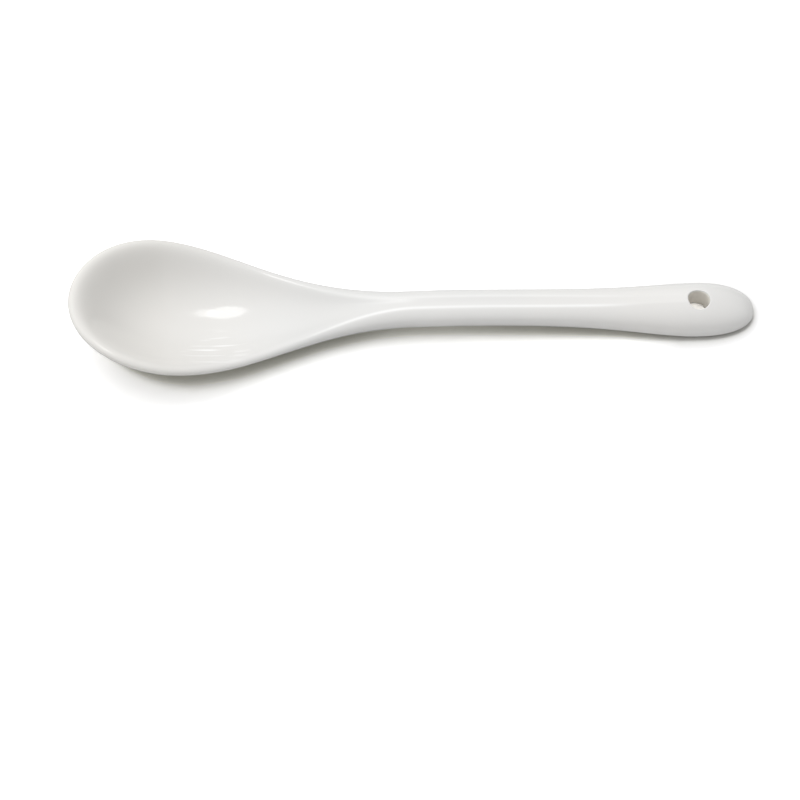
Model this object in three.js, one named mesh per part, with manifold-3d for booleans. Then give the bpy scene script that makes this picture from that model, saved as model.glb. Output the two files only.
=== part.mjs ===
// Ceramic spoon: a fired porcelain body under a thin coat of glaze.
// Millimetres. X runs from the bowl tip to the handle end, Y across the spoon, Z up from the table.
// Places along the spoon are given as the distance from the bowl tip.

import * as THREE from 'three';
import Module from 'manifold-3d';
import { LoftGeometry } from 'three/addons/geometries/LoftGeometry.js';
import { mergeVertices } from 'three/addons/utils/BufferGeometryUtils.js';

const { lerp, clamp } = THREE.MathUtils;

// Driving sizes of the whole spoon
const LENGTH = 140;
const GLAZE_THICKNESS = 0.25;

// Driving sizes of the bowl; heights are above the table
const BOWL_WIDTH = 31.9;
const BOWL_LENGTH = 69;
const TIP_TO_WIDEST = 18.9;
const TIP_TO_LOWEST = 29;
const FLOOR_RADIUS = 70;
const BOWL_WALL = 2.3;
const RIM_REACH = 1;
const RIM_DROP = 0.72;
const TIP_RIM_HEIGHT = 12.6;
const REAR_RIM_HEIGHT = 5.85;

// Driving sizes of the neck and the handle
const BOWL_TO_NECK = 1.8;
const NECK_WIDTH = 8.1;
const NECK_THICKNESS = 5.4;
const NECK_CLEARANCE = 2.15;
const RIDGE_SPACING = 2.6;
const RIDGE_DISH = 0.1;
const END_WIDTH = 12.5;
const END_THICKNESS = 5.7;
const END_TOP_FLAT = 1.5;
const HOLE_DIAMETER = 4.5;
const HOLE_TO_END = 12;

// Driving sizes of the two flats it rests on, which are left without glaze
const FOOT_WIDTH = 9;
const FOOT_FRONT = 8;
const FOOT_BACK = 12.4;
const PAD_WIDTH = 8.4;
const PAD_RUN = 6;
const WIPED_MARGIN = 0.3;

// Shapes of the curves, as plain shares, pulls and powers
const REAR_RIM_SHARE = 0.63;
const SHOULDER_SHARE = 0.52;
const DISH_SHARE = 0.7;
const OVAL_POWER = 2;
const END_POWER = 2.35;
const TAPER_POWER = 0.94;
const FLARE_POWER = 2.3;
const NECK_WAIST = 0.6;
const END_WAIST = 0.2;
const QUARTER_ROUND = 0.5523;
const SIDE_SLOPE = 0.21;
const SIDE_PULL = 0.91;
const SIDE_TURN = 0.13;
const FLOOR_PULL = 0.62;
const LIP_PULL = 0.18;
const RIDGE_PULL = 0.45;
const OUTER_WALL_PULL = 0.135;
const KEEL_PULL = 0.5;

// Places along the spoon and heights that follow from the sizes
const WIDEST = TIP_TO_WIDEST;
const LOWEST = TIP_TO_LOWEST;
const FOOT_END = WIDEST + FOOT_BACK;
const SHOULDER_START = SHOULDER_SHARE * BOWL_LENGTH;
const REAR_RIM = REAR_RIM_SHARE * BOWL_LENGTH;
const NECK = BOWL_LENGTH + BOWL_TO_NECK;
const HOLE = LENGTH - HOLE_TO_END;
const PAD_START = HOLE - PAD_RUN;
const DISH_END = lerp(NECK, HOLE, DISH_SHARE);
const NECK_HEIGHT = NECK_CLEARANCE + NECK_THICKNESS + RIDGE_DISH;
const WIPED_HEIGHT = 1.5 * GLAZE_THICKNESS;

// Steps of the mesh: round the two ends, along the spoon between them, and round each section
const TIP_STEPS = 8;
const FOOT_STEPS = 4;
const SHOULDER_STEPS = 11;
const HANDLE_STEPS = 8;
const PAD_STEPS = 2;
const END_STEPS = 6;
const TOP_STEPS = 6;
const SIDE_STEPS = 4;
const UNDER_STEPS = 5;
const HOLE_STEPS = 24;
const WIPED_STEPS = 8;
const WELD_DISTANCE = 1e-4;

function ease(share) {
  return (1 - Math.cos(Math.PI * clamp(share, 0, 1))) / 2;
}

function shareOf(x, from, to) {
  return clamp((x - from) / (to - from), 0, 1);
}

// Distance from the middle of a rounded outline to its edge, in the direction of the angle
function roundedReach(along, across, power, angle) {
  const x = Math.abs(Math.cos(angle) / along) ** power;
  const y = Math.abs(Math.sin(angle) / across) ** power;
  return (x + y) ** (-1 / power);
}

function handleFlare(x) {
  return ease(shareOf(x, NECK, HOLE) ** FLARE_POWER);
}

function handleFall(x) {
  return ease(shareOf(x, NECK, PAD_START));
}

function handleShare(x) {
  return ease(shareOf(x, SHOULDER_START, NECK));
}

// Plan: the crest is the line along the top of the rim and of the handle's two ridges
function crestReach(x) {
  if (x < BOWL_LENGTH) {
    const taper = ease(shareOf(x, WIDEST, BOWL_LENGTH) ** TAPER_POWER);
    return lerp(BOWL_WIDTH / 2 - RIM_REACH, RIDGE_SPACING / 2, taper);
  }
  return lerp(RIDGE_SPACING / 2, END_TOP_FLAT / 2, handleFlare(x));
}

function shoulderWidth(x) {
  const neckShoulder = (NECK_WIDTH - RIDGE_SPACING) / 2;
  if (x < NECK) {
    return lerp(RIM_REACH, neckShoulder, handleShare(x));
  }
  return lerp(neckShoulder, (END_WIDTH - END_TOP_FLAT) / 2, handleFlare(x));
}

// Side view: crest, underside and the middle line of the top
function crestHeight(x) {
  if (x < REAR_RIM) {
    return lerp(TIP_RIM_HEIGHT, REAR_RIM_HEIGHT, ease(shareOf(x, 0, REAR_RIM)));
  }
  if (x < NECK) {
    return lerp(REAR_RIM_HEIGHT, NECK_HEIGHT, ease(shareOf(x, REAR_RIM, NECK)));
  }
  return lerp(NECK_HEIGHT, END_THICKNESS, handleFall(x));
}

function underHeight(x) {
  if (x < NECK) {
    return NECK_CLEARANCE * ease(shareOf(x, FOOT_END, NECK));
  }
  return NECK_CLEARANCE * (1 - handleFall(x));
}

function topHeight(x) {
  if (x < LOWEST) {
    return BOWL_WALL + (LOWEST - x) ** 2 / (2 * FLOOR_RADIUS);
  }
  if (x < NECK) {
    return lerp(BOWL_WALL, NECK_CLEARANCE + NECK_THICKNESS, ease(shareOf(x, LOWEST, NECK)));
  }
  return crestHeight(x) - RIDGE_DISH * (1 - ease(shareOf(x, NECK, DISH_END)));
}

// Half width of the flat under the spoon in one direction from the middle line
function flatReach(x, angle) {
  if (x <= WIDEST) {
    return roundedReach(FOOT_FRONT, FOOT_WIDTH / 2, OVAL_POWER, angle);
  }
  if (x >= HOLE) {
    return roundedReach(PAD_RUN, PAD_WIDTH / 2, OVAL_POWER, angle);
  }
  const foot = FOOT_WIDTH / 2 * Math.sqrt(1 - shareOf(x, WIDEST, FOOT_END) ** 2);
  const pad = PAD_WIDTH / 2 * Math.sqrt(1 - shareOf(x, HOLE, PAD_START) ** 2);
  return foot + pad;
}

// Half section: from the middle of the top, over the crest, round to the middle of the underside
function halfSection(x, angle) {
  let crest = crestReach(x);
  let reach = crest + shoulderWidth(x);
  let slope = 0;
  if (x <= WIDEST) {
    slope = Math.cos(angle) * (WIDEST - LOWEST) / FLOOR_RADIUS;
    crest = roundedReach(WIDEST - RIM_REACH, BOWL_WIDTH / 2 - RIM_REACH, OVAL_POWER, angle);
    reach = crest + RIM_REACH;
  }
  if (x >= HOLE) {
    reach = roundedReach(HOLE_TO_END, END_WIDTH / 2, END_POWER, angle);
    crest = reach * END_TOP_FLAT / END_WIDTH;
  }
  const handle = handleShare(x);
  const top = topHeight(x);
  const under = underHeight(x);
  const crestTop = crestHeight(x + reach * Math.cos(angle));
  const waistShare = lerp(NECK_WAIST, END_WAIST, handleFlare(x));
  const waist = lerp(crestTop - RIM_DROP, lerp(under, crestTop, waistShare), handle);
  const flat = flatReach(x, angle);

  const floorPull = crest * lerp(FLOOR_PULL, RIDGE_PULL, handle);
  const lipPull = crest * lerp(LIP_PULL, RIDGE_PULL, handle);
  const sidePull = (reach - crest) * lerp(QUARTER_ROUND, SIDE_PULL, handle);
  const sideTurn = (crestTop - waist) * lerp(QUARTER_ROUND, SIDE_TURN, handle);
  const wallPull = (waist - under) * lerp(OUTER_WALL_PULL, QUARTER_ROUND, handle);
  const keelPull = (reach - flat) * lerp(KEEL_PULL, QUARTER_ROUND, handle);

  const dish = new THREE.CubicBezierCurve(
    new THREE.Vector2(0, top),
    new THREE.Vector2(floorPull, top + floorPull * slope),
    new THREE.Vector2(crest - lipPull, crestTop),
    new THREE.Vector2(crest, crestTop),
  );
  const side = new THREE.CubicBezierCurve(
    new THREE.Vector2(crest, crestTop),
    new THREE.Vector2(crest + sidePull, crestTop - sidePull * SIDE_SLOPE * handle),
    new THREE.Vector2(reach, waist + sideTurn),
    new THREE.Vector2(reach, waist),
  );
  const underside = new THREE.CubicBezierCurve(
    new THREE.Vector2(reach, waist),
    new THREE.Vector2(reach, waist - wallPull),
    new THREE.Vector2(flat + keelPull, under),
    new THREE.Vector2(flat, under),
  );
  const outline = [
    ...dish.getPoints(TOP_STEPS),
    ...side.getPoints(SIDE_STEPS).slice(1),
    ...underside.getPoints(UNDER_STEPS).slice(1),
    new THREE.Vector2(0, under),
  ];
  return outline.map((p) => new THREE.Vector3(
    x - LENGTH / 2 + p.x * Math.cos(angle),
    p.x * Math.sin(angle),
    p.y,
  ));
}

// Places of the sections along one side: a fan round the tip, the straight run, a fan round the end
function sectionPlaces() {
  const places = [];
  for (let i = 0; i < TIP_STEPS; i += 1) {
    places.push([WIDEST, Math.PI * (1 - i / TIP_STEPS / 2)]);
  }
  const spans = [
    [WIDEST, FOOT_END, FOOT_STEPS],
    [FOOT_END, NECK, SHOULDER_STEPS],
    [NECK, PAD_START, HANDLE_STEPS],
    [PAD_START, HOLE, PAD_STEPS],
  ];
  for (const [from, to, steps] of spans) {
    for (let i = 0; i < steps; i += 1) {
      places.push([lerp(from, to, i / steps), Math.PI / 2]);
    }
  }
  for (let i = 0; i <= END_STEPS; i += 1) {
    places.push([HOLE, Math.PI / 2 * (1 - i / END_STEPS)]);
  }
  return places;
}

// One closed skin: the half sections swept up one side of the spoon and back down the other
function spoonSurface() {
  const left = sectionPlaces();
  const right = left.slice(0, -1).reverse().map(([x, angle]) => [x, -angle]);
  const sections = [...left, ...right].reverse().map(([x, angle]) => halfSection(x, angle));
  return welded(new LoftGeometry(sections, { closed: false }));
}

// Joins equal points and drops the triangles that shrink to a line where sections meet
function welded(geometry) {
  const plain = new THREE.BufferGeometry();
  plain.setAttribute('position', geometry.attributes.position);
  plain.setIndex(geometry.index);
  const joined = mergeVertices(plain, WELD_DISTANCE);
  const corners = joined.index.array;
  const kept = [];
  for (let i = 0; i < corners.length; i += 3) {
    const [a, b, c] = corners.slice(i, i + 3);
    if (a !== b && b !== c && c !== a) {
      kept.push(a, b, c);
    }
  }
  joined.setIndex(kept);
  return joined;
}

// The same skin moved inward by one thickness along its normals
function insetSurface(surface, thickness) {
  const inner = surface.clone();
  inner.computeVertexNormals();
  const point = new THREE.Vector3();
  const normal = new THREE.Vector3();
  for (let i = 0; i < inner.attributes.position.count; i += 1) {
    point.fromBufferAttribute(inner.attributes.position, i);
    normal.fromBufferAttribute(inner.attributes.normal, i);
    point.addScaledVector(normal, -thickness);
    inner.attributes.position.setXYZ(i, point.x, point.y, point.z);
  }
  inner.deleteAttribute('normal');
  return inner;
}

// Upright round bar for cutting the hanging hole, long enough to pass the handle end on both sides
function holeBar(radius) {
  const bar = new THREE.CylinderGeometry(radius, radius, 4 * END_THICKNESS, HOLE_STEPS);
  bar.rotateX(Math.PI / 2);
  bar.translate(HOLE - LENGTH / 2, 0, 0);
  return welded(bar);
}

// Upright egg-shaped block, a margin wider than a flat, that wipes it free of glaze from below
function wipedBlock(x, front, back, width) {
  const shape = new THREE.Shape();
  const middle = x - LENGTH / 2;
  const across = width / 2 + WIPED_MARGIN;
  shape.absellipse(middle, 0, back + WIPED_MARGIN, across, -Math.PI / 2, Math.PI / 2, false);
  shape.absellipse(middle, 0, front + WIPED_MARGIN, across, Math.PI / 2, 1.5 * Math.PI, false);
  const depth = 2 * WIPED_HEIGHT;
  const block = new THREE.ExtrudeGeometry(shape, { depth, bevelEnabled: false, curveSegments: WIPED_STEPS });
  block.translate(0, 0, -WIPED_HEIGHT);
  return welded(block);
}

const wasm = await Module();
wasm.setup();

function solidOf(geometry) {
  return new wasm.Manifold(new wasm.Mesh({
    numProp: 3,
    vertProperties: Float32Array.from(geometry.attributes.position.array),
    triVerts: Uint32Array.from(geometry.index.array),
  }));
}

function meshOf(solid, name, material) {
  const data = solid.getMesh();
  const geometry = new THREE.BufferGeometry();
  geometry.setAttribute('position', new THREE.BufferAttribute(data.vertProperties, 3));
  geometry.setIndex(new THREE.BufferAttribute(data.triVerts, 1));
  geometry.computeVertexNormals();
  const mesh = new THREE.Mesh(geometry, material);
  mesh.name = name;
  return mesh;
}

// Solids that both pieces are cut from
const outerSurface = spoonSurface();
const outer = solidOf(outerSurface);
const inner = solidOf(insetSurface(outerSurface, GLAZE_THICKNESS));
const wipedFoot = solidOf(wipedBlock(WIDEST, FOOT_FRONT, FOOT_BACK, FOOT_WIDTH));
const wipedPad = solidOf(wipedBlock(HOLE, PAD_RUN, PAD_RUN, PAD_WIDTH));
const wiped = wipedFoot.add(wipedPad);

// Porcelain body: bare in the hanging hole and on the two flats it rests on
function porcelainBody() {
  const bare = new THREE.MeshStandardMaterial({ color: 0xd2c8b8, roughness: 0.85, metalness: 0 });
  const solid = inner.add(outer.intersect(wiped)).subtract(solidOf(holeBar(HOLE_DIAMETER / 2)));
  return meshOf(solid, 'porcelain_body', bare);
}

// Glaze coat: a glass skin all over the body, stopping short of the hole and of the two flats
function glazeCoat() {
  const glaze = new THREE.MeshStandardMaterial({ color: 0xeeedea, roughness: 0.1, metalness: 0 });
  const cut = solidOf(holeBar(HOLE_DIAMETER / 2 + GLAZE_THICKNESS));
  const solid = outer.subtract(inner).subtract(wiped).subtract(cut);
  return meshOf(solid, 'glaze_coat', glaze);
}

const spoon = new THREE.Group();
spoon.name = 'ceramic_spoon';
spoon.add(porcelainBody(), glazeCoat());

export default spoon;
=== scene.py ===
# Ceramic spoon: a glossy glaze over a fired porcelain body, lying on a white table.
# Metres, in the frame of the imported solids: X from the bowl tip to the handle end, Y across, Z up.
# Places along the spoon are given as the distance from the bowl tip.
import math

import bpy
import numpy as np
from mathutils import Matrix, Vector


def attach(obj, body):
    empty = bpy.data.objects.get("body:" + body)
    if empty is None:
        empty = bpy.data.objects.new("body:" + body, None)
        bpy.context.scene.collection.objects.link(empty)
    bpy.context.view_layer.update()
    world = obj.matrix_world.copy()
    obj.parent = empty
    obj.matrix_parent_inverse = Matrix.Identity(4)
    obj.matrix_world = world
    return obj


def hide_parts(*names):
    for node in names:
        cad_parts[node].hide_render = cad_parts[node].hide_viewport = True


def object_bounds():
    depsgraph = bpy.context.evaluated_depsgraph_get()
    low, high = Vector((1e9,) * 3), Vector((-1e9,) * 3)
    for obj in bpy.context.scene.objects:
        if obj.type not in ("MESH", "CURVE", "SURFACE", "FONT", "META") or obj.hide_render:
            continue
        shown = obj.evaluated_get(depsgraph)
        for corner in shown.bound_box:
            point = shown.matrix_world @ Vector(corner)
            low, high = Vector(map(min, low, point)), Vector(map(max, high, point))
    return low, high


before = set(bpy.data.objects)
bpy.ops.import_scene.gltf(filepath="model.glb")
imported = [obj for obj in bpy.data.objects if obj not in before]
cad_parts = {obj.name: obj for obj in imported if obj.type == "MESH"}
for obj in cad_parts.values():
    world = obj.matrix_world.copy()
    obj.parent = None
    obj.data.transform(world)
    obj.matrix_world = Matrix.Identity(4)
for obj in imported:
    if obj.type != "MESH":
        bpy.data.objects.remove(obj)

cad_low, cad_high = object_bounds()

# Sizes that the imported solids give
LENGTH = cad_high.x - cad_low.x
BOWL_WIDTH = cad_high.y - cad_low.y
TIP_RIM_HEIGHT = cad_high.z

# Sizes of the bowl; heights are above the table
BOWL_LENGTH = 0.069
TIP_TO_WIDEST = 0.0189
TIP_TO_LOWEST = 0.029
FLOOR_RADIUS = 0.07
BOWL_WALL = 0.0023
RIM_REACH = 0.001
RIM_DROP = 0.00072
REAR_RIM_HEIGHT = 0.00585

# Sizes of the neck and the handle
BOWL_TO_NECK = 0.0018
NECK_WIDTH = 0.0081
NECK_THICKNESS = 0.0054
NECK_CLEARANCE = 0.00215
RIDGE_SPACING = 0.0026
RIDGE_DISH = 0.0001
END_WIDTH = 0.0125
END_THICKNESS = 0.0057
END_TOP_FLAT = 0.0015
HOLE_RADIUS = 0.00225
HOLE_LIP = 0.00025
HOLE_LOWER_LIP = 0.0009
HOLE_TO_END = 0.012

# Sizes of the glaze, and of the two flats and the margins round them that it leaves bare
GLAZE_THICKNESS = 0.00025
FOOT_WIDTH = 0.009
FOOT_FRONT = 0.008
FOOT_BACK = 0.0124
PAD_WIDTH = 0.0084
PAD_RUN = 0.006
WIPED_MARGIN = 0.0003

# Shapes of the curves, as plain shares, pulls and powers
REAR_RIM_SHARE = 0.63
SHOULDER_SHARE = 0.52
DISH_SHARE = 0.7
OVAL_POWER = 2
END_POWER = 2.35
TAPER_POWER = 0.94
FLARE_POWER = 2.3
FLAT_TAPER_POWER = 1.5
NECK_WAIST = 0.6
END_WAIST = 0.2
QUARTER_ROUND = 0.5523
SIDE_SLOPE = 0.21
SIDE_PULL = 0.91
SIDE_TURN = 0.13
FLOOR_PULL = 0.62
LIP_PULL = 0.18
RIDGE_PULL = 0.45
OUTER_WALL_PULL = 0.135
KEEL_PULL = 0.5

# Places along the spoon and heights that follow from the sizes
WIDEST = TIP_TO_WIDEST
LOWEST = TIP_TO_LOWEST
FOOT_END = WIDEST + FOOT_BACK
SHOULDER_START = SHOULDER_SHARE * BOWL_LENGTH
REAR_RIM = REAR_RIM_SHARE * BOWL_LENGTH
NECK = BOWL_LENGTH + BOWL_TO_NECK
HOLE = LENGTH - HOLE_TO_END
PAD_START = HOLE - PAD_RUN
NECK_HEIGHT = NECK_CLEARANCE + NECK_THICKNESS + RIDGE_DISH

# Looks of the glaze and of the bare porcelain: sizes of features, depths of relief and colours
NOISE_LOW = 0.3
NOISE_HIGH = 0.7
GLAZE_CLOUD = 0.03
HANDLE_TONES = (0.80, 0.80, 0.79), (0.83, 0.82, 0.80)
# Painted warm shade: between these two places along the spoon, the glaze turns creamier towards the bowl's
# hollow, standing in for warm light bounced inside it
BOWL_WARM_SHADE_TONES = (0.80, 0.785, 0.755), (0.83, 0.815, 0.78)
BOWL_WARM_SHADE_START = 0.042
BOWL_WARM_SHADE_END = 0.016
# Painted shade: a greyer glaze tone round this place at the neck, fading out over this spread
NECK_SHADE_TONES = (0.745, 0.745, 0.735), (0.775, 0.765, 0.745)
NECK_SHADE_PLACE = (0.051, 0.0, 0.006)
NECK_SHADE_SPREAD = 0.022
# Painted highlights: pale tones that stand in for glints, used for the line along the handle's ridges and for
# the streaks in the bowl. Then come the ridge highlight's width, the places where it starts, is full, fades
# and ends, and its share on the far ridge.
PAINTED_HIGHLIGHT_TONES = (0.96, 0.96, 0.95), (0.98, 0.975, 0.965)
RIDGE_HIGHLIGHT_WIDTH = 0.00033
RIDGE_HIGHLIGHT_START = 0.042
RIDGE_HIGHLIGHT_FULL = 0.068
RIDGE_HIGHLIGHT_FADE = 0.104
RIDGE_HIGHLIGHT_END = 0.118
FAR_RIDGE_HIGHLIGHT_SHARE = 0.35
# Painted highlight streaks on the bowl's near wall: their place, spread, width, stretch, noise band and
# strength
HIGHLIGHT_STREAK_PLACE = (0.0288, -0.0085, 0.004)
HIGHLIGHT_STREAK_SPREAD = 0.0075
HIGHLIGHT_STREAK_WIDTH = 0.0009
HIGHLIGHT_STREAK_STRETCH = 0.1
HIGHLIGHT_STREAK_NOISE = (0.56, 0.70)
HIGHLIGHT_STREAK_STRENGTH = 1.6
GLAZE_SHEEN = 0.02
GLAZE_ROUGHNESS = (0.05, 0.11)
SATIN_PLACE = (0.062, 0.0, 0.007)
SATIN_SPREAD = 0.04
SATIN_ROUGHNESS = 0.26
GLAZE_WAVE = 0.009
GLAZE_WAVE_DEPTH = 0.00003
GLAZE_PEEL = 0.0012
GLAZE_PEEL_DEPTH = 0.000002
GLAZE_SHELL_SHARE = 0.9
BARE_CLOUD = 0.002
BARE_TONES = (0.83, 0.80, 0.745), (0.89, 0.865, 0.81)
BARE_ROUGHNESS = (0.75, 0.95)
BARE_GRAIN = 0.0003
BARE_GRAIN_DEPTH = 0.00004

# Studio: floor, light and camera
FLOOR_SIZE = 6.0
FLOOR_COLOUR = (0.82, 0.82, 0.82)
# Painted contact shadow: the table's tones by how open it is near the spoon, in mirror rays, for the camera,
# and for the camera round the handle's end, where the table under the hanging hole is also painted brighter
FLOOR_MIRROR_STOPS = (0, (0, 0, 0)), (1, (0.55, 0.55, 0.55))
FLOOR_SEEN_STOPS = (
    (0, (0.60, 0.59, 0.53)),
    (0.44, (0.65, 0.64, 0.57)),
    (0.60, (1.25, 1.25, 1.20)),
    (0.72, (1.50, 1.50, 1.48)),
    (1, (1.42, 1.42, 1.42)),
)
FLOOR_END_STOPS = (
    (0, (0.44, 0.43, 0.40)),
    (0.58, (0.54, 0.53, 0.51)),
    (0.72, (0.92, 0.92, 0.90)),
    (0.88, (1.02, 1.02, 1.02)),
    (0.97, (1.35, 1.35, 1.35)),
    (1, (2.0, 2.0, 2.0)),
)
FLOOR_END_START = 0.112
FLOOR_END_FULL = 0.124
# Reach of the occlusion that sets the painted contact shadow, at the tip, under the bowl and along the
# handle, and the places where these reaches change
CONTACT_SAMPLES = 24
CONTACT_TIP_REACH = 0.0037
CONTACT_BOWL_REACH = 0.0062
CONTACT_HANDLE_REACH = 0.005
CONTACT_TIP_END = 0.009
CONTACT_BOWL_START = 0.024
CONTACT_BOWL_END = 0.036
CONTACT_HANDLE_START = 0.050
ROOM_DIRECTION = (-0.484, 0.393, 1.562)
ROOM_COLOUR = (1, 1, 1)
ROOM_LIGHT = 1.51
KEY_DIRECTION = (-0.1, 0.29, 0.955)
KEY_LENGTHWAYS = (0.1, 1, 0)
KEY_SIZE = (0.18, 0.34)
KEY_LIGHT = 0.065
SPILL_DIRECTION = (0.0, 0.3, 0.955)
SPILL_LENGTHWAYS = (0, 1, 0)
SPILL_SIZE = (0.1, 0.22)
SPILL_LIGHT = 0.016
LAMP_DISTANCE = 1.0
IMAGE_SIZE = 800
MIDDLE_PIXEL = (416.24, 322.91)
CAMERA_AZIMUTH = -8.4
CAMERA_ELEVATION = 59.0
CAMERA_ROLL = 5.138
CAMERA_LENS = 100
CAMERA_SENSOR = 36
CAMERA_DISTANCE = 0.45619

# Steps of the mesh
TIP_STEPS = 40
FOOT_STEPS = 18
SHOULDER_STEPS = 48
HANDLE_STEPS = 48
PAD_STEPS = 14
HOLE_STEPS = 14
END_STEPS = 28
TOP_STEPS = 44
UNDER_STEPS = 26
LIP_STEPS = 4
FLAT_STEPS = 10
WALL_STEPS = 8
CURVE_STEPS = 240
TURN_SHARE = 0.8
WELD = 1e-7


def lerp(start, end, share):
    return start + (end - start) * share


def ease(share):
    return (1 - math.cos(math.pi * min(max(share, 0), 1))) / 2


def share_of(x, start, end):
    return min(max((x - start) / (end - start), 0), 1)


# Distance from the middle of a rounded outline to its edge, in the direction of the angle
def rounded_reach(along, across, power, angle):
    x = abs(math.cos(angle) / along) ** power
    y = abs(math.sin(angle) / across) ** power
    return (x + y) ** (-1 / power)


def handle_flare(x):
    return ease(share_of(x, NECK, HOLE) ** FLARE_POWER)


def handle_fall(x):
    return ease(share_of(x, NECK, PAD_START))


def handle_share(x):
    return ease(share_of(x, SHOULDER_START, NECK))


# Plan: the crest is the line along the top of the rim and of the handle's two ridges
def crest_reach(x):
    if x < BOWL_LENGTH:
        taper = ease(share_of(x, WIDEST, BOWL_LENGTH) ** TAPER_POWER)
        return lerp(BOWL_WIDTH / 2 - RIM_REACH, RIDGE_SPACING / 2, taper)
    return lerp(RIDGE_SPACING / 2, END_TOP_FLAT / 2, handle_flare(x))


def shoulder_width(x):
    neck_shoulder = (NECK_WIDTH - RIDGE_SPACING) / 2
    if x < NECK:
        return lerp(RIM_REACH, neck_shoulder, handle_share(x))
    return lerp(neck_shoulder, (END_WIDTH - END_TOP_FLAT) / 2, handle_flare(x))


# Side view: crest, underside and the middle line of the top
def crest_height(x):
    if x < REAR_RIM:
        return lerp(TIP_RIM_HEIGHT, REAR_RIM_HEIGHT, ease(share_of(x, 0, REAR_RIM)))
    if x < NECK:
        return lerp(REAR_RIM_HEIGHT, NECK_HEIGHT, ease(share_of(x, REAR_RIM, NECK)))
    return lerp(NECK_HEIGHT, END_THICKNESS, handle_fall(x))


def under_height(x):
    if x < NECK:
        return NECK_CLEARANCE * ease(share_of(x, FOOT_END, NECK))
    return NECK_CLEARANCE * (1 - handle_fall(x))


def top_height(x):
    if x < LOWEST:
        return BOWL_WALL + (LOWEST - x) ** 2 / (2 * FLOOR_RADIUS)
    if x < NECK:
        return lerp(BOWL_WALL, NECK_CLEARANCE + NECK_THICKNESS, ease(share_of(x, LOWEST, NECK)))
    dish_end = lerp(NECK, HOLE, DISH_SHARE)
    return crest_height(x) - RIDGE_DISH * (1 - ease(share_of(x, NECK, dish_end)))


# Half width of the flat under the spoon, which narrows smoothly towards the neck
def flat_reach(x, angle):
    if x <= WIDEST:
        return rounded_reach(FOOT_FRONT, FOOT_WIDTH / 2, OVAL_POWER, angle)
    if x >= HOLE:
        return rounded_reach(PAD_RUN, PAD_WIDTH / 2, OVAL_POWER, angle)
    foot = FOOT_WIDTH / 2 * (1 - ease(share_of(x, WIDEST, FOOT_END) ** FLAT_TAPER_POWER))
    pad = PAD_WIDTH / 2 * (1 - ease(share_of(x, HOLE, PAD_START) ** FLAT_TAPER_POWER))
    return foot + pad


# Half width of the oval place round the flat that is wiped free of glaze
def wiped_reach(x, angle):
    foot_width = FOOT_WIDTH / 2 + WIPED_MARGIN
    pad_width = PAD_WIDTH / 2 + WIPED_MARGIN
    if x <= WIDEST:
        return rounded_reach(FOOT_FRONT + WIPED_MARGIN, foot_width, OVAL_POWER, angle)
    if x >= HOLE:
        return rounded_reach(PAD_RUN + WIPED_MARGIN, pad_width, OVAL_POWER, angle)
    foot = foot_width * math.sqrt(1 - share_of(x, WIDEST, FOOT_END + WIPED_MARGIN) ** 2)
    pad = pad_width * math.sqrt(1 - share_of(x, HOLE, PAD_START - WIPED_MARGIN) ** 2)
    return foot + pad


def bezier(start, pull_start, pull_end, end):
    t = np.linspace(0, 1, CURVE_STEPS + 1)[:, None]
    points = [np.array(p) for p in (start, pull_start, pull_end, end)]
    weights = [(1 - t) ** 3, 3 * t * (1 - t) ** 2, 3 * t ** 2 * (1 - t), t ** 3]
    return sum(w * p for w, p in zip(weights, points))


# Top and underside of one half section, as rows of distance from the middle and height
def half_section(x, angle):
    crest = crest_reach(x)
    reach = crest + shoulder_width(x)
    slope = 0
    if x <= WIDEST:
        slope = math.cos(angle) * (WIDEST - LOWEST) / FLOOR_RADIUS
        crest = rounded_reach(WIDEST - RIM_REACH, BOWL_WIDTH / 2 - RIM_REACH, OVAL_POWER, angle)
        reach = crest + RIM_REACH
    if x >= HOLE:
        reach = rounded_reach(HOLE_TO_END, END_WIDTH / 2, END_POWER, angle)
        crest = reach * END_TOP_FLAT / END_WIDTH
    handle = handle_share(x)
    top = top_height(x)
    under = under_height(x)
    crest_top = crest_height(x + reach * math.cos(angle))
    waist_share = lerp(NECK_WAIST, END_WAIST, handle_flare(x))
    waist = lerp(crest_top - RIM_DROP, lerp(under, crest_top, waist_share), handle)
    flat = flat_reach(x, angle)

    floor_pull = crest * lerp(FLOOR_PULL, RIDGE_PULL, handle)
    lip_pull = crest * lerp(LIP_PULL, RIDGE_PULL, handle)
    side_pull = (reach - crest) * lerp(QUARTER_ROUND, SIDE_PULL, handle)
    side_turn = (crest_top - waist) * lerp(QUARTER_ROUND, SIDE_TURN, handle)
    wall_pull = (waist - under) * lerp(OUTER_WALL_PULL, QUARTER_ROUND, handle)
    keel_pull = (reach - flat) * lerp(KEEL_PULL, QUARTER_ROUND, handle)

    floor_end = (floor_pull, top + floor_pull * slope)
    dish = bezier((0, top), floor_end, (crest - lip_pull, crest_top), (crest, crest_top))
    side_start = (crest + side_pull, crest_top - side_pull * SIDE_SLOPE * handle)
    side = bezier((crest, crest_top), side_start, (reach, waist + side_turn), (reach, waist))
    wall = bezier((reach, waist), (reach, waist - wall_pull), (flat + keel_pull, under), (flat, under))
    flat_points = np.linspace(flat, 0, CURVE_STEPS + 1)[1:]
    over = np.vstack([dish, side[1:]])
    below = np.vstack([wall, np.column_stack([flat_points, np.full(CURVE_STEPS, under)])])
    return over, below


# Distance from the middle at which a section meets the wall of the hanging hole
def hole_edge(x):
    return math.sqrt(max(HOLE_RADIUS ** 2 - max(HOLE - x, 0) ** 2, 0))


# How far a rounded lip of the hole turns in, for each point of a section
def lip_depth(curve, x, angle, lip):
    along = x - HOLE + curve[:, 0] * math.cos(angle)
    across = curve[:, 0] * math.sin(angle)
    inside = np.clip(HOLE_RADIUS + lip - np.hypot(along, across), 0, lip)
    return lip - np.sqrt(lip ** 2 - inside ** 2)


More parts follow.
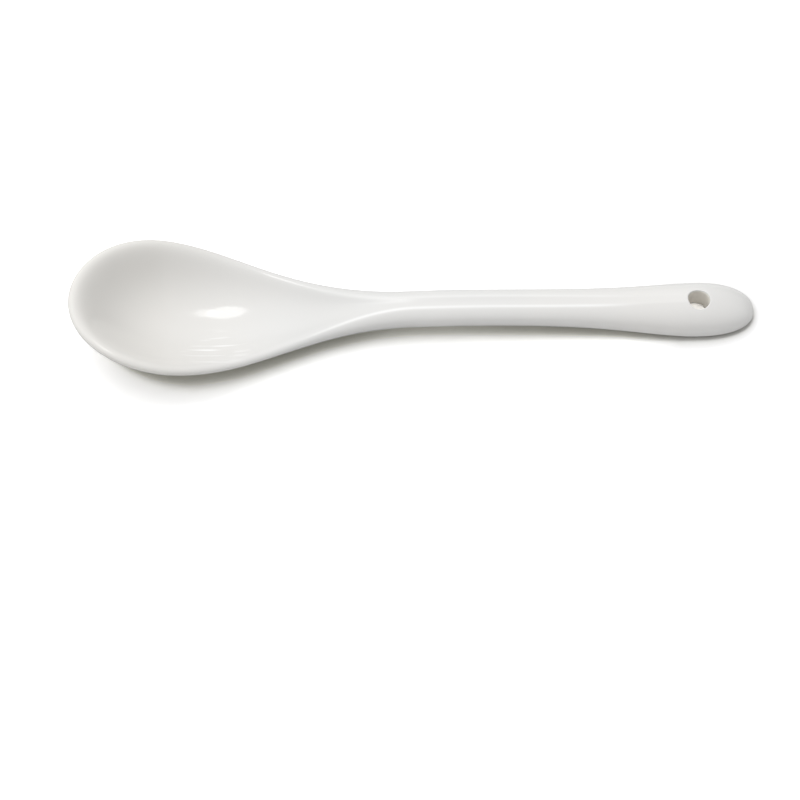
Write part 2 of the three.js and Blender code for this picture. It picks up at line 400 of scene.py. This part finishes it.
# The stretch of a curve between two distances from the middle, cut off exactly there
def between(curve, inner, outer):
    order = np.argsort(curve[:, 0], kind="stable")
    ends = [[d, np.interp(d, curve[order, 0], curve[order, 1])] for d in (inner, outer)]
    kept = curve[(curve[:, 0] > inner + WELD) & (curve[:, 0] < outer - WELD)]
    if curve[0, 0] < curve[-1, 0]:
        return np.vstack([ends[:1], kept, ends[1:]])
    return np.vstack([ends[1:], kept, ends[:1]])


# A set number of points along a curve, closer together where it turns
def even_points(curve, count):
    steps = np.diff(curve, axis=0)
    lengths = np.hypot(steps[:, 0], steps[:, 1])
    headings = np.unwrap(np.arctan2(steps[:, 1], steps[:, 0]))
    turns = np.abs(np.diff(headings, prepend=headings[0]))
    weights = lengths / max(lengths.sum(), WELD) + TURN_SHARE * turns / max(turns.sum(), WELD)
    along = np.concatenate([[0], np.cumsum(weights)])
    wanted = np.linspace(0, along[-1], count + 1)
    return np.column_stack([np.interp(wanted, along, curve[:, k]) for k in (0, 1)])


def on_spoon(points, x, angle):
    along = x - LENGTH / 2 + points[:, 0] * math.cos(angle)
    across = points[:, 0] * math.sin(angle)
    return np.column_stack([along, across, points[:, 1]])


# Places of the sections along one side, closer together round the ends of the flats and the hole
def section_places():
    quarter_turn = math.pi / 2
    foot_end = FOOT_END + WIPED_MARGIN
    pad_start = PAD_START - WIPED_MARGIN
    lip_start = HOLE - HOLE_RADIUS - HOLE_LIP
    hole_start = HOLE - HOLE_RADIUS
    foot_turns = np.linspace(0, quarter_turn, FOOT_STEPS, endpoint=False)
    hole_turns = np.linspace(0, quarter_turn, HOLE_STEPS, endpoint=False)
    straight = np.concatenate([
        WIDEST + (foot_end - WIDEST) * np.sin(foot_turns),
        np.linspace(foot_end, NECK, SHOULDER_STEPS, endpoint=False),
        np.linspace(NECK, pad_start, HANDLE_STEPS, endpoint=False),
        pad_start + (lip_start - pad_start) * np.linspace(0, 1, PAD_STEPS, endpoint=False) ** 2,
        np.linspace(lip_start, hole_start, LIP_STEPS, endpoint=False),
        HOLE - HOLE_RADIUS * np.cos(hole_turns),
    ])
    tip_turns = np.linspace(0, quarter_turn, TIP_STEPS, endpoint=False)
    end_turns = np.linspace(0, quarter_turn, END_STEPS + 1)
    tip = [(WIDEST, math.pi - turn) for turn in tip_turns]
    run = [(x, quarter_turn) for x in straight]
    end = [(HOLE, quarter_turn - turn) for turn in end_turns]
    return tip + run + end


# Glazed stretch of one section: from the hole's lip or the middle of the top, round to the wiped place
def glazed_row(x, angle):
    over, below = half_section(x, angle)
    over[:, 1] -= lip_depth(over, x, angle, HOLE_LIP)
    over = between(over, hole_edge(x), over[-1, 0])
    below = between(below, wiped_reach(x, angle), below[0, 0])
    points = np.vstack([even_points(over, TOP_STEPS), even_points(below, UNDER_STEPS)[1:]])
    return on_spoon(points, x, angle)


# Bare stretch of one section: from the edge of the wiped place to the middle or the hole's lower lip
def bare_row(x, angle):
    below = half_section(x, angle)[1]
    below[:, 1] += lip_depth(below, x, angle, HOLE_LOWER_LIP)
    below = between(below, hole_edge(x), wiped_reach(x, angle))
    return on_spoon(even_points(below, FLAT_STEPS), x, angle)


# The rows of one side and their mirror images, so that the last row meets the first
def both_sides(rows):
    mirrored = [row * (1, -1, 1) for row in rows[-2::-1]]
    return np.array(rows + mirrored)


# One mesh from grids of points: equal points are joined, and faces that shrink to a line are left out
def mesh_of(name, grids):
    points = np.concatenate([grid.reshape(-1, 3) for grid in grids])
    keys = np.round(points / WELD).astype(np.int64)
    _, first, corner_of = np.unique(keys, axis=0, return_index=True, return_inverse=True)
    corner_of = corner_of.ravel()
    faces = []
    start = 0
    for grid in grids:
        rows, columns = grid.shape[:2]
        corners = corner_of[start:start + rows * columns].reshape(rows, columns)
        start += rows * columns
        for r in range(rows - 1):
            for c in range(columns - 1):
                loop = [corners[r, c], corners[r + 1, c], corners[r + 1, c + 1], corners[r, c + 1]]
                loop = [int(v) for k, v in enumerate(loop) if v != loop[k - 1]]
                if len(set(loop)) >= 3:
                    faces.append(loop)
    mesh = bpy.data.meshes.new(name)
    mesh.from_pydata(points[first].tolist(), [], faces)
    mesh.shade_smooth()
    mesh.update()
    return mesh, corner_of


# How much of the painted ridge highlight each point has. This is a pale line of colour that stands in for the
# glint along the crests. It is full on the handle's near crest, less on the far one, and fades at both ends.
def ridge_highlight(points):
    shares = np.zeros(len(points))
    for k, (along, across, _) in enumerate(points):
        x = along + LENGTH / 2
        away = (abs(across) - crest_reach(x)) / RIDGE_HIGHLIGHT_WIDTH
        begin = ease(share_of(x, RIDGE_HIGHLIGHT_START, RIDGE_HIGHLIGHT_FULL))
        fade = 1 - ease(share_of(x, RIDGE_HIGHLIGHT_FADE, RIDGE_HIGHLIGHT_END))
        side = FAR_RIDGE_HIGHLIGHT_SHARE if across > 0 else 1
        shares[k] = side * begin * fade * math.exp(-away ** 2)
    return shares


def piece(name, mesh, material, node):
    made = bpy.data.objects.new(name, mesh)
    bpy.context.scene.collection.objects.link(made)
    mesh.materials.append(material)
    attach(made, "root")
    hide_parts(node)
    return made


# Materials
def new_material(name):
    material = bpy.data.materials.new(name)
    material.use_nodes = True
    tree = material.node_tree
    tree.nodes.clear()
    shader = tree.nodes.new("ShaderNodeBsdfPrincipled")
    output = tree.nodes.new("ShaderNodeOutputMaterial")
    tree.links.new(shader.outputs["BSDF"], output.inputs["Surface"])
    return material, tree, shader


# Noise in the spoon's own space, with features of the given size
def noise(tree, size, detail=2.0, stretch=(1, 1, 1)):
    place = tree.nodes.new("ShaderNodeTexCoord")
    mapping = tree.nodes.new("ShaderNodeMapping")
    mapping.inputs["Scale"].default_value = stretch
    texture = tree.nodes.new("ShaderNodeTexNoise")
    texture.inputs["Scale"].default_value = 1 / size
    texture.inputs["Detail"].default_value = detail
    tree.links.new(place.outputs["Object"], mapping.inputs["Vector"])
    tree.links.new(mapping.outputs["Vector"], texture.inputs["Vector"])
    return texture.outputs["Fac"]


# Spreads a noise value over a range of plain numbers
def spread(tree, value, low, high):
    spreader = tree.nodes.new("ShaderNodeMapRange")
    spreader.inputs["From Min"].default_value = NOISE_LOW
    spreader.inputs["From Max"].default_value = NOISE_HIGH
    spreader.inputs["To Min"].default_value = low
    spreader.inputs["To Max"].default_value = high
    tree.links.new(value, spreader.inputs["Value"])
    return spreader.outputs["Result"]


# Runs a value through colours, each given with its place on the way
def tint(tree, value, stops):
    ramp = tree.nodes.new("ShaderNodeValToRGB")
    elements = ramp.color_ramp.elements
    while len(elements) < len(stops):
        elements.new(1)
    for element, (place, colour) in zip(elements, stops):
        element.position = place
        element.color = (*colour, 1)
    tree.links.new(value, ramp.inputs["Fac"])
    return ramp.outputs["Color"]


# Runs a noise value from one colour to another
def clouded(tree, value, tones):
    return tint(tree, value, list(zip((NOISE_LOW, NOISE_HIGH), tones)))


# Goes from the first colour to the second with a share
def blend(tree, share, first, second):
    mix = tree.nodes.new("ShaderNodeMixRGB")
    tree.links.new(share, mix.inputs["Fac"])
    tree.links.new(first, mix.inputs["Color1"])
    tree.links.new(second, mix.inputs["Color2"])
    return mix.outputs["Color"]


# The larger, the smaller or the product of two values
def combined(tree, operation, first, second):
    sums = tree.nodes.new("ShaderNodeMath")
    sums.operation = operation
    tree.links.new(first, sums.inputs[0])
    tree.links.new(second, sums.inputs[1])
    return sums.outputs["Value"]


# Value that runs from low to high between two places along the spoon
def along_spoon(tree, start, end, low=0, high=1):
    place = tree.nodes.new("ShaderNodeTexCoord")
    split = tree.nodes.new("ShaderNodeSeparateXYZ")
    run = tree.nodes.new("ShaderNodeMapRange")
    run.inputs["From Min"].default_value = start - LENGTH / 2
    run.inputs["From Max"].default_value = end - LENGTH / 2
    run.inputs["To Min"].default_value = low
    run.inputs["To Max"].default_value = high
    tree.links.new(place.outputs["Object"], split.inputs["Vector"])
    tree.links.new(split.outputs["X"], run.inputs["Value"])
    return run.outputs["Result"]


# Value that runs from low to high between two distances from a place on the spoon
def round_place(tree, middle, start, end, low, high):
    place = tree.nodes.new("ShaderNodeTexCoord")
    away = tree.nodes.new("ShaderNodeVectorMath")
    away.operation = "DISTANCE"
    away.inputs[1].default_value = Vector(middle) - Vector((LENGTH / 2, 0, 0))
    run = tree.nodes.new("ShaderNodeMapRange")
    run.inputs["From Min"].default_value = start
    run.inputs["From Max"].default_value = end
    run.inputs["To Min"].default_value = low
    run.inputs["To Max"].default_value = high
    tree.links.new(place.outputs["Object"], away.inputs[0])
    tree.links.new(away.outputs["Value"], run.inputs["Value"])
    return run.outputs["Result"]


# Share of the painted highlight streaks: pale lines of colour that stand in for streaky glints of the key
# light, running along the near wall of the bowl
def highlight_streak_share(tree):
    lines = tree.nodes.new("ShaderNodeMapRange")
    lines.inputs["From Min"].default_value = HIGHLIGHT_STREAK_NOISE[0]
    lines.inputs["From Max"].default_value = HIGHLIGHT_STREAK_NOISE[1]
    streaks = noise(tree, HIGHLIGHT_STREAK_WIDTH, detail=1, stretch=(HIGHLIGHT_STREAK_STRETCH, 1, 1))
    tree.links.new(streaks, lines.inputs["Value"])
    strength = round_place(tree, HIGHLIGHT_STREAK_PLACE, 0, HIGHLIGHT_STREAK_SPREAD, HIGHLIGHT_STREAK_STRENGTH, 0)
    return combined(tree, "MULTIPLY", lines.outputs["Result"], strength)


# Value that a mesh carries at its points under a name
def mesh_value(tree, name):
    value = tree.nodes.new("ShaderNodeAttribute")
    value.attribute_name = name
    return value.outputs["Fac"]


# Adds relief of the given depth on top of the relief before it
def relief(tree, value, depth, before=None):
    bump = tree.nodes.new("ShaderNodeBump")
    bump.inputs["Distance"].default_value = depth
    tree.links.new(value, bump.inputs["Height"])
    if before is not None:
        tree.links.new(before, bump.inputs["Normal"])
    return bump.outputs["Normal"]


# Glaze: white and glossy, faintly uneven in tone and surface, and satin at the neck. Its colour also carries
# painted light: a creamier tone in the bowl's hollow for warm bounced light, a greyer tone at the neck for
# shade, and pale tones on the ridges and in the streaks for glints.
def glaze_material():
    material, tree, shader = new_material("white_glaze")
    cloud = noise(tree, GLAZE_CLOUD)
    # Painted warm shade: creamier tone in the bowl's hollow
    bowl = along_spoon(tree, BOWL_WARM_SHADE_START, BOWL_WARM_SHADE_END)
    tone = blend(tree, bowl, clouded(tree, cloud, HANDLE_TONES), clouded(tree, cloud, BOWL_WARM_SHADE_TONES))
    # Painted shade: greyer tone round the neck
    neck = round_place(tree, NECK_SHADE_PLACE, 0, NECK_SHADE_SPREAD, 1, 0)
    tone = blend(tree, neck, tone, clouded(tree, cloud, NECK_SHADE_TONES))
    # Painted highlights: pale tone in the glint streaks on the bowl's near wall and along the ridges
    pale = clouded(tree, cloud, PAINTED_HIGHLIGHT_TONES)
    tone = blend(tree, highlight_streak_share(tree), tone, pale)
    tone = blend(tree, mesh_value(tree, "ridge_highlight"), tone, pale)
    gloss = spread(tree, noise(tree, GLAZE_SHEEN), *GLAZE_ROUGHNESS)
    satin = round_place(tree, SATIN_PLACE, 0, SATIN_SPREAD, SATIN_ROUGHNESS, 0)
    wave = relief(tree, noise(tree, GLAZE_WAVE, detail=0), GLAZE_WAVE_DEPTH)
    peel = relief(tree, noise(tree, GLAZE_PEEL), GLAZE_PEEL_DEPTH, wave)
    tree.links.new(tone, shader.inputs["Base Color"])
    tree.links.new(combined(tree, "MAXIMUM", gloss, satin), shader.inputs["Roughness"])
    tree.links.new(peel, shader.inputs["Normal"])
    return material


# Bare porcelain: warm, matt and finely grained
def bare_material():
    material, tree, shader = new_material("bare_porcelain")
    tone = clouded(tree, noise(tree, BARE_CLOUD, detail=6), BARE_TONES)
    gloss = spread(tree, noise(tree, BARE_CLOUD), *BARE_ROUGHNESS)
    grain = relief(tree, noise(tree, BARE_GRAIN, detail=4), BARE_GRAIN_DEPTH)
    tree.links.new(tone, shader.inputs["Base Color"])
    tree.links.new(gloss, shader.inputs["Roughness"])
    tree.links.new(grain, shader.inputs["Normal"])
    return material


# Matt table of one tone
def shaded_table(tree, tone):
    shader = tree.nodes.new("ShaderNodeBsdfDiffuse")
    tree.links.new(tone, shader.inputs["Color"])
    return shader.outputs["BSDF"]


# Shows the second shader to one kind of ray and the first to all others
def shown_to(tree, ray, first, second):
    path = tree.nodes.new("ShaderNodeLightPath")
    mix = tree.nodes.new("ShaderNodeMixShader")
    tree.links.new(path.outputs[ray], mix.inputs["Fac"])
    tree.links.new(first, mix.inputs[1])
    tree.links.new(second, mix.inputs[2])
    return mix.outputs["Shader"]


# How far the occlusion that sets the painted contact shadow reaches: little at the tip, most under the bowl,
# nowhere under the hanging hole
def shadow_reach(tree):
    front = along_spoon(tree, CONTACT_TIP_END, CONTACT_BOWL_START, CONTACT_TIP_REACH, CONTACT_BOWL_REACH)
    rear = along_spoon(tree, CONTACT_BOWL_END, CONTACT_HANDLE_START, CONTACT_BOWL_REACH, CONTACT_HANDLE_REACH)
    open_edge = HOLE_RADIUS + HOLE_LOWER_LIP
    hole = round_place(tree, (HOLE, 0, 0), open_edge, END_WIDTH / 2, 0, 1)
    along = combined(tree, "MINIMUM", front, rear)
    return combined(tree, "MULTIPLY", along, hole)


# Floor: a table that gives back pale light, is a darker grey in mirror rays, and is white for the camera. In
# both, its colour carries a painted shadow close to the spoon, set by how open the table is there, on top of
# the lamps' own shadow. Round the handle's end, the table seen through the hanging hole is painted brighter
# for the camera.
def floor_material():
    material = bpy.data.materials.new("white_table")
    material.use_nodes = True
    tree = material.node_tree
    tree.nodes.clear()
    plain = tree.nodes.new("ShaderNodeBsdfDiffuse")
    plain.inputs["Color"].default_value = (*FLOOR_COLOUR, 1)
    # Occlusion near the spoon, which paints the contact shadow into the table's colour
    contact = tree.nodes.new("ShaderNodeAmbientOcclusion")
    tree.links.new(shadow_reach(tree), contact.inputs["Distance"])
    contact.samples = CONTACT_SAMPLES
    open_share = contact.outputs["AO"]
    end = along_spoon(tree, FLOOR_END_START, FLOOR_END_FULL)
    along_tone = tint(tree, open_share, FLOOR_SEEN_STOPS)
    end_tone = tint(tree, open_share, FLOOR_END_STOPS)
    seen = shaded_table(tree, blend(tree, end, along_tone, end_tone))
    mirrored = shaded_table(tree, tint(tree, open_share, FLOOR_MIRROR_STOPS))
    surface = shown_to(tree, "Is Glossy Ray", plain.outputs["BSDF"], mirrored)
    surface = shown_to(tree, "Is Transmission Ray", surface, mirrored)
    surface = shown_to(tree, "Is Camera Ray", surface, seen)
    output = tree.nodes.new("ShaderNodeOutputMaterial")
    tree.links.new(surface, output.inputs["Surface"])
    return material


def make_floor():
    half = FLOOR_SIZE / 2
    mesh = bpy.data.meshes.new("floor")
    corners = [(-half, -half, 0), (half, -half, 0), (half, half, 0), (-half, half, 0)]
    mesh.from_pydata(corners, [], [(0, 1, 2, 3)])
    mesh.materials.append(floor_material())
    floor = bpy.data.objects.new("floor", mesh)
    bpy.context.scene.collection.objects.link(floor)


# Room light: a wide soft sky, brightest overhead a little behind and to the left of the spoon
def make_world():
    world = bpy.data.worlds.new("studio")
    world.use_nodes = True
    tree = world.node_tree
    place = tree.nodes.new("ShaderNodeTexCoord")
    towards = tree.nodes.new("ShaderNodeVectorMath")
    towards.operation = "DOT_PRODUCT"
    towards.inputs[1].default_value = Vector(ROOM_DIRECTION).normalized()
    shine = tree.nodes.new("ShaderNodeMapRange")
    shine.inputs["To Max"].default_value = ROOM_LIGHT
    tree.links.new(place.outputs["Generated"], towards.inputs[0])
    tree.links.new(towards.outputs["Value"], shine.inputs["Value"])
    tree.links.new(shine.outputs["Result"], tree.nodes["Background"].inputs["Strength"])
    tree.nodes["Background"].inputs["Color"].default_value = (*ROOM_COLOUR, 1)
    bpy.context.scene.world = world


# An oval soft box that shines on the spoon from one direction, with its second size lying lengthways
def soft_box(name, direction, lengthways, size, light):
    lamp = bpy.data.lights.new(name, "AREA")
    lamp.shape = "ELLIPSE"
    lamp.size, lamp.size_y = size
    lamp.energy = light * (math.pi * LAMP_DISTANCE) ** 2
    made = bpy.data.objects.new(name, lamp)
    towards = Vector(direction).normalized()
    aside = Vector(lengthways).cross(towards).normalized()
    made.matrix_world = Matrix((aside, towards.cross(aside), towards)).transposed().to_4x4()
    made.location = towards * LAMP_DISTANCE
    bpy.context.scene.collection.objects.link(made)


# Camera that puts the middle of the spoon, at table level, on its pixel of the photograph
def make_camera():
    azimuth = math.radians(CAMERA_AZIMUTH)
    elevation = math.radians(CAMERA_ELEVATION)
    roll = math.radians(CAMERA_ROLL)
    flat = math.cos(elevation)
    back = Vector((math.sin(azimuth) * flat, -math.cos(azimuth) * flat, math.sin(elevation)))
    level = Vector((math.cos(azimuth), math.sin(azimuth), 0))
    right = level * math.cos(roll) + back.cross(level) * math.sin(roll)
    up = back.cross(right)
    camera = bpy.data.cameras.new("camera")
    camera.lens = CAMERA_LENS
    camera.sensor_width = CAMERA_SENSOR
    camera.clip_start = CAMERA_DISTANCE / 10
    focal = IMAGE_SIZE * CAMERA_LENS / CAMERA_SENSOR
    aside = (MIDDLE_PIXEL[0] - IMAGE_SIZE / 2) / focal
    above = (IMAGE_SIZE / 2 - MIDDLE_PIXEL[1]) / focal
    place = CAMERA_DISTANCE * (back - aside * right - above * up)
    made = bpy.data.objects.new("camera", camera)
    made.matrix_world = Matrix((right, up, back)).transposed().to_4x4()
    made.location = place
    bpy.context.scene.collection.objects.link(made)
    bpy.context.scene.camera = made


# Glaze: a closed skin over the body, with its inner face hidden
def make_glaze(mesh, ridge_highlight_shares):
    # The shares of the painted ridge highlight are carried on the mesh's points
    ridges = mesh.attributes.new("ridge_highlight", "FLOAT", "POINT")
    ridges.data.foreach_set("value", ridge_highlight_shares)
    made = piece("glazed_skin", mesh, glaze_material(), "glaze_coat")
    shell = made.modifiers.new("thickness", "SOLIDIFY")
    shell.thickness = GLAZE_THICKNESS * GLAZE_SHELL_SHARE
    shell.offset = -1


# Body: the glazed stretch moved in by one thickness, then the bare stretch, and the wall of the hole
def make_body(glaze_grid, glaze_normals, bare_grid):
    inner = glaze_grid - GLAZE_THICKNESS * glaze_normals
    wiped = np.abs(bare_grid[:, 0, 1] - bare_grid[:, -1, 1]) > WELD
    wiped |= np.abs(bare_grid[:, 0, 0] - bare_grid[:, -1, 0]) > WELD
    bare = np.where(wiped[:, None, None], bare_grid, inner[:, -1:, :])
    ring = bare_grid[:, 0, 0] >= HOLE - HOLE_RADIUS - LENGTH / 2 - WELD
    upper = glaze_grid[ring, 0]
    lower = bare[ring, -1]
    steps = np.linspace(0, 1, WALL_STEPS + 1)[None, :, None]
    wall = upper[:, None] * (1 - steps) + lower[:, None] * steps
    wall = np.concatenate([inner[ring, :1], wall], axis=1)[:, ::-1]
    mesh, _ = mesh_of("bare_body", [np.concatenate([inner, bare], axis=1), wall])
    piece("bare_body", mesh, bare_material(), "porcelain_body")


places = section_places()
glaze_grid = both_sides([glazed_row(x, angle) for x, angle in places])
bare_grid = both_sides([bare_row(x, angle) for x, angle in places])
glaze_mesh, corner_of = mesh_of("glazed_skin", [glaze_grid])
glaze_points = np.array([corner.co for corner in glaze_mesh.vertices])
glaze_normals = np.array([corner.normal for corner in glaze_mesh.vertices])
make_glaze(glaze_mesh, ridge_highlight(glaze_points))
make_body(glaze_grid, glaze_normals[corner_of].reshape(glaze_grid.shape), bare_grid)
make_floor()
make_world()
soft_box("key_light", KEY_DIRECTION, KEY_LENGTHWAYS, KEY_SIZE, KEY_LIGHT)
soft_box("spill_light", SPILL_DIRECTION, SPILL_LENGTHWAYS, SPILL_SIZE, SPILL_LIGHT)
make_camera()

bpy.context.scene.view_settings.view_transform = "Standard"
